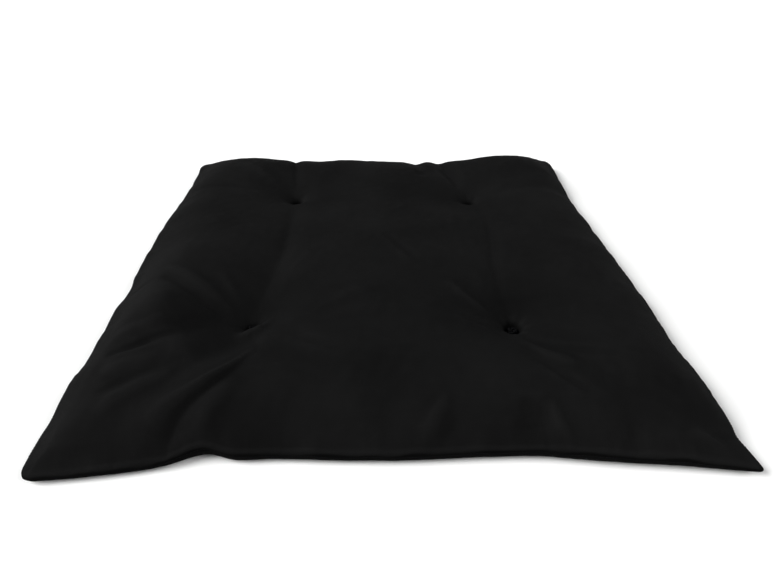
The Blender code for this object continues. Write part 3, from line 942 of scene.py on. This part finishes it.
@dataclass(frozen=True)
class CottonCanvas:
    """Plain-woven black cotton canvas, dull, with the soft bloom of short fibres.

    The real cloth has about 0.45 mm from thread to thread. It is drawn coarser, so that a render holds it.
    Its fibres scatter light that grazes it, so it has next to no gloss.
    """

    colour: str = "#101010"
    # Painted shade: the darker colour beneath the seam, on the underside and in the pits
    painted_shade: str = "#060606"
    worn: str = "#181818"
    dust: str = "#222222"
    bloom: str = "#D9DADC"
    thread_pitch: float = 0.0008
    thread_depth: float = 0.00025
    # Repeats for each metre: slubs 1.4 mm wide and 56 mm long, clouds of dye 110 mm wide, lint 19 mm apart
    slubs_across: float = 700.0
    slubs_along: float = 18.0
    clouds: float = 9.0
    lint_flecks: float = 52.0
    # A share of the room between two flecks, which makes a fleck 0.7 mm from middle to edge
    lint_size: float = 0.035
    lint_rarity: float = 0.82
    wear_share: float = 0.55
    roughness: float = 0.88
    roughness_spread: float = 0.10
    sheen: float = 0.0030
    sheen_roughness: float = 0.45
    specular: float = 0.02

    def woven(self, tree: bpy.types.NodeTree, place: bpy.types.NodeSocket) -> tuple:
        """Adds the weave: warp and weft that pass over and under each other.

        Args:
            tree: The node tree.
            place: The panel's own coordinates in metres.

        Returns:
            The threads' height and the mask of where the warp is on top.
        """
        parts = add_node(tree, "SeparateXYZ", {0: place}).outputs
        waves = []
        for axis in (0, 1):
            turn = {0: parts[axis], 1: math.pi / self.thread_pitch}
            turned = add_node(tree, "Math", turn, operation="MULTIPLY").outputs[0]
            waves.append(add_node(tree, "Math", {0: turned}, operation="SINE").outputs[0])
        crossing = add_node(tree, "Math", {0: waves[0], 1: waves[1]}, operation="MULTIPLY").outputs[0]
        threads = []
        for wave, way in zip(waves, (1.0, -1.0)):
            across = add_node(tree, "Math", {0: wave}, operation="ABSOLUTE").outputs[0]
            thread = add_node(tree, "Math", {0: crossing, 1: way, 2: across}, operation="MULTIPLY_ADD")
            threads.append(thread.outputs[0])
        height = add_node(tree, "Math", {0: threads[0], 1: threads[1]}, operation="MAXIMUM")
        warp_up = add_node(tree, "Math", {0: threads[0], 1: threads[1]}, operation="GREATER_THAN")
        return height.outputs[0], warp_up.outputs[0]

    def material(self) -> bpy.types.Material:
        """Builds the cloth's finish.

        Returns:
            The material with its weave, slubs, worn ridges, painted shade and lint.
        """
        material = bpy.data.materials.new("cotton_canvas_plain_woven_black")
        material.use_nodes = True
        tree = material.node_tree
        shader = tree.nodes["Principled BSDF"]
        place = add_node(tree, "Attribute", {}, attribute_name="panel_place").outputs["Vector"]
        wear = add_node(tree, "Attribute", {}, attribute_name="wear").outputs["Fac"]
        # The mask of painted shade, beneath the seam, on the underside and in the pits
        painted_shade_mask = add_node(tree, "Attribute", {}, attribute_name="painted_shade").outputs["Fac"]
        height, warp_up = self.woven(tree, place)
        # Slubs: single threads that run a little thicker and paler for a few centimetres
        slubs = []
        for stretch in (
            (self.slubs_across, self.slubs_along, 1.0),
            (self.slubs_along, self.slubs_across, 1.0),
        ):
            run = add_node(tree, "VectorMath", {0: place, 1: stretch}, operation="MULTIPLY").outputs[0]
            noise = add_node(tree, "TexNoise", {"Vector": run, "Scale": 1.0}, noise_dimensions="2D")
            slubs.append(noise.outputs[0])
        slub = add_node(tree, "Mix", {0: warp_up, 2: slubs[1], 3: slubs[0]}, data_type="FLOAT").outputs[0]
        # Dye that took a little unevenly over the width of a hand
        spread = {"Vector": place, "Scale": self.clouds, "Detail": 4.0}
        cloud = add_node(tree, "TexNoise", spread, noise_dimensions="2D").outputs[0]
        shade = add_node(tree, "Math", {0: slub, 1: 0.5, 2: 0.74}, operation="MULTIPLY_ADD").outputs[0]
        shade = add_node(tree, "Math", {0: shade, 1: cloud}, operation="MULTIPLY").outputs[0]
        shade = add_node(tree, "Math", {0: shade, 1: 0.9, 2: 0.55}, operation="MULTIPLY_ADD").outputs[0]
        tint = {0: 1.0, 6: linear_colour(self.colour), 7: shade}
        colour = add_node(tree, "Mix", tint, data_type="RGBA", blend_type="MULTIPLY").outputs[2]
        # Fibres raised and greyed by handling, on the ridges and along the seam
        worn = add_node(tree, "Math", {0: wear, 1: self.wear_share}, operation="MULTIPLY").outputs[0]
        # A few specks of lint
        spread = {"Vector": place, "Scale": self.lint_flecks}
        specks = add_node(tree, "TexVoronoi", spread, voronoi_dimensions="2D")
        fade = {0: specks.outputs["Distance"], 1: 0.0, 2: self.lint_size, 3: 0.5, 4: 0.0}
        speck = add_node(tree, "MapRange", fade).outputs[0]
        chance = {0: specks.outputs["Color"], 1: self.lint_rarity}
        rare = add_node(tree, "Math", chance, operation="GREATER_THAN").outputs[0]
        lint = add_node(tree, "Math", {0: speck, 1: rare}, operation="MULTIPLY").outputs[0]
        # Painted shade: a darker colour beneath the seam, on the underside and in the pits, where shade
        # falls
        for share, code in ((painted_shade_mask, self.painted_shade), (worn, self.worn), (lint, self.dust)):
            coat = {0: share, 6: colour, 7: linear_colour(code)}
            colour = add_node(tree, "Mix", coat, data_type="RGBA").outputs[2]
        tree.links.new(colour, shader.inputs["Base Color"])
        matt = {0: cloud, 1: self.roughness_spread, 2: self.roughness - self.roughness_spread / 2}
        rough = add_node(tree, "Math", matt, operation="MULTIPLY_ADD").outputs[0]
        tree.links.new(rough, shader.inputs["Roughness"])
        raised = add_node(tree, "Math", {0: slub, 1: 0.6, 2: height}, operation="MULTIPLY_ADD").outputs[0]
        bump = add_node(tree, "Bump", {"Strength": 0.5, "Distance": self.thread_depth, "Height": raised})
        tree.links.new(bump.outputs["Normal"], shader.inputs["Normal"])
        shader.inputs["Specular IOR Level"].default_value = self.specular
        shader.inputs["Sheen Weight"].default_value = self.sheen
        shader.inputs["Sheen Roughness"].default_value = self.sheen_roughness
        shader.inputs["Sheen Tint"].default_value = linear_colour(self.bloom)
        return material


@dataclass(frozen=True)
class CottonThread:
    """Twisted black cotton thread. Its default colour is darker than the canvas: painted shade for knots
    that lie deep in their pits.
    """

    name: str
    # Painted shade: darker than the canvas, for knots deep in their pits
    colour: str = "#09090A"
    roughness: float = 0.92
    specular: float = 0.05
    # Repeats for each metre, which makes a bundle of fibres 0.4 mm wide
    fibres: float = 2600.0
    fibre_depth: float = 0.0001
    pale_gain: float = 1.6

    def material(self) -> bpy.types.Material:
        """Builds the thread's finish.

        Returns:
            The material with the fine fibres of its strands.
        """
        material = bpy.data.materials.new(self.name)
        material.use_nodes = True
        tree = material.node_tree
        shader = tree.nodes["Principled BSDF"]
        place = add_node(tree, "TexCoord", {}).outputs["Object"]
        spread = {"Vector": place, "Scale": self.fibres, "Detail": 3.0}
        fibres = add_node(tree, "TexNoise", spread).outputs[0]
        dark = linear_colour(self.colour)
        pale = tuple(channel * self.pale_gain for channel in dark[:3]) + (1.0,)
        colour = add_node(tree, "Mix", {0: fibres, 6: dark, 7: pale}, data_type="RGBA")
        tree.links.new(colour.outputs[2], shader.inputs["Base Color"])
        bump = add_node(tree, "Bump", {"Strength": 0.4, "Distance": self.fibre_depth, "Height": fibres})
        tree.links.new(bump.outputs["Normal"], shader.inputs["Normal"])
        shader.inputs["Roughness"].default_value = self.roughness
        shader.inputs["Specular IOR Level"].default_value = self.specular
        return material


@dataclass(frozen=True)
class StudioPaper:
    """Matt white studio paper."""

    colour: str = "#F3F3F2"
    roughness: float = 0.95
    specular: float = 0.1
    # Repeats for each metre, which makes a grain 2.5 mm wide, coarser than real paper's so that it shows
    grains: float = 400.0
    tooth_depth: float = 0.0002

    def material(self) -> bpy.types.Material:
        """Builds the paper's finish.

        Returns:
            The material with its faint tooth.
        """
        material = bpy.data.materials.new("studio_paper_matt_white")
        material.use_nodes = True
        tree = material.node_tree
        shader = tree.nodes["Principled BSDF"]
        shader.inputs["Base Color"].default_value = linear_colour(self.colour)
        shader.inputs["Roughness"].default_value = self.roughness
        shader.inputs["Specular IOR Level"].default_value = self.specular
        tooth = add_node(tree, "TexNoise", {"Scale": self.grains}).outputs[0]
        bump = add_node(tree, "Bump", {"Strength": 0.05, "Distance": self.tooth_depth, "Height": tooth})
        tree.links.new(bump.outputs["Normal"], shader.inputs["Normal"])
        return material


def shown(name: str, mesh: bmesh.types.BMesh, material: bpy.types.Material) -> bpy.types.Object:
    """Turns mesh code into a smooth-shaded object in the scene.

    Args:
        name: The piece's name.
        mesh: The mesh, which is freed.
        material: Its finish.

    Returns:
        The object.
    """
    data = bpy.data.meshes.new(name)
    mesh.to_mesh(data)
    mesh.free()
    data.shade_smooth()
    data.materials.append(material)
    piece = bpy.data.objects.new(name, data)
    bpy.context.scene.collection.objects.link(piece)
    return piece


@dataclass(frozen=True)
class MatCase:
    """The sewn case, filled: a top and a bottom panel that meet in a knife-edge seam."""

    shape: PanelShape
    lines: GridLines
    cloth: CaseCloth
    columns: int = 270
    rows: int = 280
    rubbed_share: float = 0.5
    rubbed_inside: float = 0.006
    rubbed_width: float = 0.002
    ridge_lines: int = 3
    worn_ridge: float = 0.0012
    # The painted shade's band below the seam, its reach under the bottom panel and its ease round the pits
    shade_width: float = 0.0012
    shade_ease: float = 0.0025
    shade_reach: float = 0.012
    shade_edge: Ripple = Ripple(0.0010, 0.030, 0.090, 21, 6, False)
    pit_shade_ease: float = 0.005
    map_margin: float = 0.004

    def flat_panels(self) -> bmesh.types.BMesh:
        """Lays out both flat panels, the top at z = 1 and the bottom at z = -1, joined at z = 0.

        Returns:
            The mesh. The bottom panel has half the lines of the top one, but the same points on the seam.
        """
        mesh = bmesh.new()
        for z, share in ((1.0, 1), (-1.0, 2)):
            made = bmesh.ops.create_grid(
                mesh, x_segments=self.columns // share, y_segments=self.rows // share, size=1.0
            )["verts"]
            rim = {edge for point in made for edge in point.link_edges if edge.is_boundary}
            if share > 1:
                bmesh.ops.subdivide_edges(mesh, edges=list(rim), cuts=share - 1)
            for point in (point for point in mesh.verts if point.is_valid and point.co.z == 0.0):
                point.co.z = 0.0 if point.is_boundary else z
            if z < 0:
                bottom = [face for face in mesh.faces if min(p.co.z for p in face.verts) < 0]
                bmesh.ops.reverse_faces(mesh, faces=bottom)
        bmesh.ops.remove_doubles(mesh, verts=[p for p in mesh.verts if p.co.z == 0.0], dist=1e-6)
        return mesh

    def build(self, material: bpy.types.Material) -> bpy.types.Object:
        """Builds the filled case and writes its panels' coordinates, its wear, its painted shade and its
        map.

        Args:
            material: The cotton.

        Returns:
            The case.
        """
        case = shown("mat_case", self.flat_panels(), material)
        data = case.data
        flat = np.empty(len(data.vertices) * 3)
        data.vertices.foreach_get("co", flat)
        flat = flat.reshape(-1, 3)
        u, v = self.lines.placed(flat[:, 0]), self.lines.placed(flat[:, 1])
        below = flat[:, 2] < 0
        places = np.where(below[:, None], self.shape.bottom(u, v), self.shape.top(u, v))
        places[~below] += self.cloth.read(self.cloth.moves(), u[~below], v[~below])
        data.vertices.foreach_set("co", places.ravel())
        self.write_coordinates(data, flat, u, v)
        self.write_wear_and_painted_shade(data, flat, places, self.shape.spots(u, v).nearest)
        data.update()
        return case

    def write_coordinates(
        self, data: bpy.types.Mesh, flat: np.ndarray, u: np.ndarray, v: np.ndarray
    ) -> None:
        """Writes each point's place on its flat-cut panel, and the map with a half for each panel.

        Args:
            data: The case's mesh.
            flat: The flat layout's points.
            u: Share across by point.
            v: Share along by point.
        """
        cut = np.column_stack((u * self.shape.wide / 2, v * self.shape.deep / 2, flat[:, 2] * 0.001))
        place = data.attributes.new("panel_place", "FLOAT_VECTOR", "POINT")
        place.data.foreach_set("vector", cut.astype(np.float32).ravel())
        corners = np.empty(len(data.loops), int)
        data.loops.foreach_get("vertex_index", corners)
        starts = np.empty(len(data.polygons), int)
        data.polygons.foreach_get("loop_start", starts)
        lowest = np.minimum.reduceat(flat[corners, 2], starts)
        sizes = np.diff(np.append(starts, len(corners)))
        beneath = np.repeat(lowest < 0, sizes)
        keep = 1 - 2 * self.map_margin
        across = (self.map_margin + keep * (flat[corners, 0] + 1) / 2 + beneath) / 2
        along = self.map_margin + keep * (flat[corners, 1] + 1) / 2
        layer = data.uv_layers.new(name="OFBake")
        layer.data.foreach_set("uv", np.column_stack((across, along)).astype(np.float32).ravel())

    def ridges(self, column: np.ndarray, row: np.ndarray, z: np.ndarray) -> np.ndarray:
        """How far the top panel's points stand above their neighbours, three grid lines away.

        Args:
            column: Each point's grid line across.
            row: Each point's grid line along.
            z: Each point's height.

        Returns:
            The height over the mean of the neighbours, zero near the rim.
        """
        grid = np.zeros((self.rows + 1, self.columns + 1))
        grid[row, column] = z
        away = self.ridge_lines
        before, inner, after = slice(None, -2 * away), slice(away, -away), slice(2 * away, None)
        around = grid[after, inner] + grid[before, inner] + grid[inner, after] + grid[inner, before]
        bend = np.zeros_like(grid)
        bend[inner, inner] = grid[inner, inner] - around / 4
        return bend[row, column]

    def write_wear_and_painted_shade(
        self, data: bpy.types.Mesh, flat: np.ndarray, places: np.ndarray, nearest: np.ndarray
    ) -> None:
        """Marks where the dye is worn, along the seam and on ridges, and where shade is painted: beneath
        the seam, on the underside and in the pits.

        Args:
            data: The case's mesh.
            flat: The flat layout's points.
            places: The points in space.
            nearest: Metres from the nearest side by point.
        """
        above = flat[:, 2] >= 0
        rubbed = self.rubbed_share * np.exp(-(((nearest - self.rubbed_inside) / self.rubbed_width) ** 2))
        wear = np.where(above, rubbed, 0.0)
        column = np.rint((flat[above, 0] + 1) / 2 * self.columns).astype(int)
        row = np.rint((flat[above, 1] + 1) / 2 * self.rows).astype(int)
        wear[above] += np.clip(self.ridges(column, row, places[above, 2]) / self.worn_ridge, 0, 0.7)
        # Painted shade: a band below the seam with a wandering edge, fading across the underside, and in
        # each pit
        edge = self.shade_width + self.shade_edge.at(places[:, 0] + places[:, 1], places[:, 1])
        beneath = 0.2 + 0.8 * np.exp(-nearest / self.shade_reach)
        painted_shade_mask = np.where(above, 1 - smooth((nearest - edge) / self.shade_ease), beneath)
        for tuft in TUFTS.values():
            out = np.hypot(places[:, 0] - tuft.x * MM, places[:, 1] - tuft.y * MM) - tuft.pit * MM
            painted_shade_mask = np.maximum(painted_shade_mask, 1 - smooth(out / self.pit_shade_ease))
        for name, shares in (("wear", wear), ("painted_shade", painted_shade_mask)):
            attribute = data.attributes.new(name, "FLOAT", "POINT")
            attribute.data.foreach_set("value", np.clip(shares, 0, 1).astype(np.float32))


@dataclass(frozen=True)
class TwistedThread:
    """Three plies twisted into a thread, swept along a path."""

    radius: float
    plies: int = 3
    sides: int = 8
    twist_length: float = 0.0060

    def sweep(self, mesh: bmesh.types.BMesh, path: np.ndarray, closed: bool) -> None:
        """Adds the thread along a path.

        Args:
            mesh: The mesh that gets it.
            path: The points of its middle line, in metres.
            closed: Whether the path comes back to its start.
        """
        if closed:
            run = np.roll(path, -1, axis=0) - np.roll(path, 1, axis=0)
        else:
            run = np.gradient(path, axis=0)
        run /= np.linalg.norm(run, axis=1)[:, None]
        steps = np.linalg.norm(np.diff(path, axis=0), axis=1)
        gone = np.concatenate(([0], np.cumsum(steps)))
        turns = gone[-1] / self.twist_length
        turns = round(turns) if closed else turns
        side = np.cross(run, (0.0, 0.0, 1.0))
        side /= np.linalg.norm(side, axis=1)[:, None]
        rise = np.cross(side, run)
        ply = self.radius * 0.52
        for strand in range(self.plies):
            turn = math.tau * (turns * gone / gone[-1] + strand / self.plies)
            off = np.cos(turn)[:, None] * side + np.sin(turn)[:, None] * rise
            self.tube(mesh, path + (self.radius - ply) * off, side * ply, rise * ply, closed)

    def tube(
        self, mesh: bmesh.types.BMesh, middle: np.ndarray, side: np.ndarray, rise: np.ndarray, closed: bool
    ) -> None:
        """Adds one round strand.

        Args:
            mesh: The mesh that gets it.
            middle: The points of its middle line.
            side: Half its width at each point, sideways.
            rise: Half its width at each point, upwards.
            closed: Whether it comes back to its start.
        """
        rings = []
        for centre, across, up in zip(middle, side, rise):
            turns = [math.tau * at / self.sides for at in range(self.sides)]
            rings.append([mesh.verts.new(centre + across * math.cos(t) + up * math.sin(t)) for t in turns])
        if closed:
            rings.append(rings[0])
        else:
            mesh.faces.new(rings[0])
            mesh.faces.new(rings[-1][::-1])
        for here, there in zip(rings, rings[1:]):
            for at in range(self.sides):
                after = (at + 1) % self.sides
                mesh.faces.new((here[at], there[at], there[after], here[after]))


@dataclass(frozen=True)
class TuftTie:
    """The thick thread that ties a tuft: a three-lobed knot above and a short stitch below."""

    thread: TwistedThread = TwistedThread(0.00135)
    ring: float = 0.0034
    lobe: float = 0.0017
    lift: float = 0.0014
    clearance: float = 0.0003
    points: int = 150
    stitch_half: float = 0.0075
    stitch_depth: float = 0.0016
    stitch_end_rise: float = 0.0012

    def knot(self, name: str, tuft: Tuft, material: bpy.types.Material) -> bpy.types.Object:
        """Builds the knot in its pit.

        Args:
            name: The tuft's name.
            tuft: Its place.
            material: The thread.

        Returns:
            The knot.
        """
        turn = math.tau * np.arange(self.points) / self.points
        out = self.ring + self.lobe * np.cos(3 * turn)
        z = tuft.floor * MM + self.clearance + self.lift + self.thread.radius + self.lift * np.sin(3 * turn)
        x, y = tuft.x * MM + out * np.cos(2 * turn), tuft.y * MM + out * np.sin(2 * turn)
        path = np.column_stack((x, y, z))
        mesh = bmesh.new()
        self.thread.sweep(mesh, path, closed=True)
        return shown(name + "_knot", mesh, material)

    def stitch(self, name: str, tuft: Tuft, floor: float, material: bpy.types.Material) -> bpy.types.Object:
        """Builds the stitch in the underside's dimple.

        Args:
            name: The tuft's name.
            tuft: Its place.
            floor: The height of the dimple's middle.
            material: The thread.

        Returns:
            The stitch.
        """
        share = np.linspace(-1, 1, 40)
        z = floor + self.thread.radius * 0.6 - self.stitch_depth * (1 - share**4)
        z += self.stitch_end_rise * share**6
        path = np.column_stack((tuft.x * MM + self.stitch_half * share, np.full(40, tuft.y * MM), z))
        mesh = bmesh.new()
        self.thread.sweep(mesh, path, closed=False)
        return shown(name + "_underside_stitch", mesh, material)


@dataclass(frozen=True)
class SeamStitches:
    """The machine stitches that show in the seam's groove where the filling strains it."""

    shape: PanelShape
    pitch: float = 0.0032
    length: float = 0.0022
    thread: TwistedThread = TwistedThread(0.00022, 2, 5, 0.0030)
    outwards: float = 0.0001
    end_dip: float = 0.0005
    bare_ends: float = 0.05

    def build(self, material: bpy.types.Material) -> bpy.types.Object:
        """Builds the stitches of all four sides as one piece.

        Args:
            material: The sewing thread.

        Returns:
            The stitches.
        """
        mesh = bmesh.new()
        for side in Side:
            upright = side in UPRIGHT
            end = 1.0 if side in (Side.BACK, Side.RIGHT) else -1.0
            size = self.shape.deep if upright else self.shape.wide
            count = int((size - self.bare_ends) / self.pitch)
            starts = (np.arange(count) - (count - 1) / 2) * self.pitch * 2 / size
            offsets = np.linspace(-0.5, 0.5, 5) * self.length * 2 / size
            along = (starts[:, None] + offsets).ravel()
            fixed = np.full_like(along, end)
            u, v = (fixed, along) if upright else (along, fixed)
            points = self.shape.top(u, v).reshape(count, 5, 3)
            points[:, :, 0 if upright else 1] += end * self.outwards
            points[:, (0, -1), 0 if upright else 1] -= end * self.end_dip
            for path in points:
                self.thread.sweep(mesh, path, closed=False)
        return shown("seam_stitches", mesh, material)


@dataclass(frozen=True)
class Studio:
    """A white paper floor, a pale room and two broad soft lights, with the photograph's camera."""

    floor_half: float = 7.0
    floor_drop: float = 0.0004
    room_colour: str = "#F2F4F6"
    room_strength: float = 0.27
    lens: float = 24.97
    camera_place: tuple[float, float, float] = (-0.00025, -0.6935, 0.447)
    camera_tilt: float = 54.54
    camera_turn: float = -1.20
    bank_angle: float = 42.0
    left_power: float = 5.1
    right_power: float = 2.0

    def build_floor(self) -> None:
        """Lays the paper under the mat."""
        mesh = bmesh.new()
        bmesh.ops.create_grid(mesh, x_segments=40, y_segments=40, size=self.floor_half)
        floor = shown("studio_floor", mesh, StudioPaper().material())
        floor.location.z = -self.floor_drop

    def build_lights(self) -> None:
        """Lights the room evenly, with one broad bank at the left and a weaker one at the right."""
        scene = bpy.context.scene
        scene.view_settings.view_transform = "Standard"
        world = bpy.data.worlds.new("pale_room")
        world.use_nodes = True
        backdrop = world.node_tree.nodes["Background"]
        backdrop.inputs["Color"].default_value = linear_colour(self.room_colour)
        backdrop.inputs["Strength"].default_value = self.room_strength
        scene.world = world
        for name, way, power in (
            ("left_bank", (0.85, 0.04, -0.53), self.left_power),
            ("right_bank", (-0.85, 0.12, -0.47), self.right_power),
        ):
            light = bpy.data.lights.new(name, "SUN")
            light.energy = power
            light.angle = math.radians(self.bank_angle)
            lamp = bpy.data.objects.new(name, light)
            lamp.rotation_mode = "QUATERNION"
            lamp.rotation_quaternion = Vector(way).to_track_quat("-Z", "Y")
            scene.collection.objects.link(lamp)

    def build_camera(self) -> None:
        """Sets the photograph's camera."""
        data = bpy.data.cameras.new("camera")
        data.lens = self.lens
        data.clip_start, data.clip_end = 0.01, 40.0
        camera = bpy.data.objects.new("camera", data)
        camera.location = self.camera_place
        camera.rotation_euler = (math.radians(self.camera_tilt), 0.0, math.radians(self.camera_turn))
        bpy.context.scene.collection.objects.link(camera)
        bpy.context.scene.camera = camera


def main() -> None:
    """Builds the mat in its studio, piece by piece."""
    logging.basicConfig(level=logging.INFO, format="%(name)s: %(message)s")
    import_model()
    shape = PanelShape()
    canvas = CottonCanvas().material()
    tufting = CottonThread("tufting_thread_twisted_black").material()
    sewing = CottonThread("sewing_thread_black", "#111112", 0.85).material()

    case = MatCase(shape, GridLines(), CaseCloth(shape)).build(canvas)
    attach(case, "root")
    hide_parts("mat")
    LOG.info("%s has %d faces", case.name, len(case.data.polygons))

    stitches = SeamStitches(shape).build(sewing)
    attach(stitches, "root")
    LOG.info("%s has %d faces", stitches.name, len(stitches.data.polygons))

    tie = TuftTie()
    for name, tuft in TUFTS.items():
        knot = tie.knot(name, tuft, tufting)
        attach(knot, "root")
        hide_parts(name)
        stitch = tie.stitch(name, tuft, shape.dimple_rise, tufting)
        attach(stitch, "root")
        LOG.info("%s and %s are in place", knot.name, stitch.name)

    studio = Studio()
    studio.build_floor()
    studio.build_lights()
    studio.build_camera()


if __name__ == "__main__":
    main()
